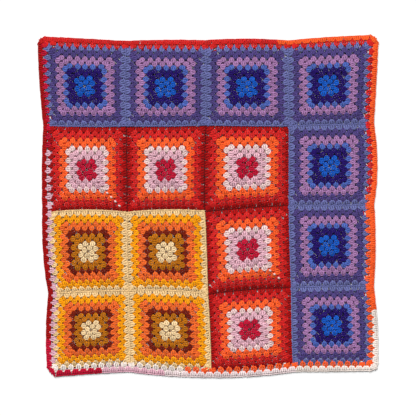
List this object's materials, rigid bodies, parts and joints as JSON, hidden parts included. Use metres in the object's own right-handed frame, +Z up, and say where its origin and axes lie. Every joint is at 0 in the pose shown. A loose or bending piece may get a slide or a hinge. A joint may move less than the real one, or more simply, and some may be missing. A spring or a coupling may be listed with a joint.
{
  "type": "crochet blanket",
  "caption": "Crochet blanket of granny squares joined in blue, red and yellow groups inside a striped crochet border, lying flat with its squares softly puffed.",
  "frame": {"origin": "on the floor, under the middle of the blanket's outline box", "axes": "+Z up from the floor, +Y towards the edge beside the row of blue squares, +X towards the edge beside the column of blue squares"},
  "size_m": [1.0357, 1.0418, 0.013],
  "materials": {
    "blue_yarns": "matt crocheted wool in bright blue, navy, light blue, mauve, slate purple and periwinkle rounds",
    "red_yarns": "matt crocheted wool in crimson, pink, cream, orange, red and dark red rounds",
    "yellow_yarns": "matt crocheted wool in cream, ochre, brown, orange, yellow and cream rounds",
    "red_yarn": "matt crocheted wool in bright red",
    "orange_yarn": "matt crocheted wool in orange",
    "cream_yarn": "matt crocheted wool in cream white",
    "pink_yarn": "matt crocheted wool in pink",
    "pale_pink_yarn": "matt crocheted wool in pale flecked pink",
    "crimson_yarn": "matt crocheted wool in crimson",
    "dark_red_yarn": "matt crocheted wool in dark red"
  },
  "bodies": {
    "root": {"square_1_1_blue": "blue_yarns", "square_1_2_blue": "blue_yarns", "square_1_3_blue": "blue_yarns", "square_1_4_blue": "blue_yarns", "square_2_1_red": "red_yarns", "square_2_2_red": "red_yarns", "square_2_3_red": "red_yarns", "square_2_4_blue": "blue_yarns", "square_3_1_yellow": "yellow_yarns", "square_3_2_yellow": "yellow_yarns", "square_3_3_red": "red_yarns", "square_3_4_blue": "blue_yarns", "square_4_1_yellow": "yellow_yarns", "square_4_2_yellow": "yellow_yarns", "square_4_3_red": "red_yarns", "square_4_4_blue": "blue_yarns", "border_1_top_red": "red_yarn", "border_1_right_red": "red_yarn", "border_1_right_orange": "orange_yarn", "border_1_bottom_orange": "orange_yarn", "border_1_bottom_cream": "cream_yarn", "border_1_left_cream": "cream_yarn", "border_1_left_pink": "pink_yarn", "border_1_left_crimson": "crimson_yarn", "border_2_top_red": "red_yarn", "border_2_top_orange": "orange_yarn", "border_2_right_orange": "orange_yarn", "border_2_right_cream": "cream_yarn", "border_2_bottom_cream": "cream_yarn", "border_2_bottom_pale_pink": "pale_pink_yarn", "border_2_bottom_pink": "pink_yarn", "border_2_bottom_crimson": "crimson_yarn", "border_2_left_crimson": "crimson_yarn", "border_2_left_dark_red": "dark_red_yarn"}
  },
  "joints": []
}
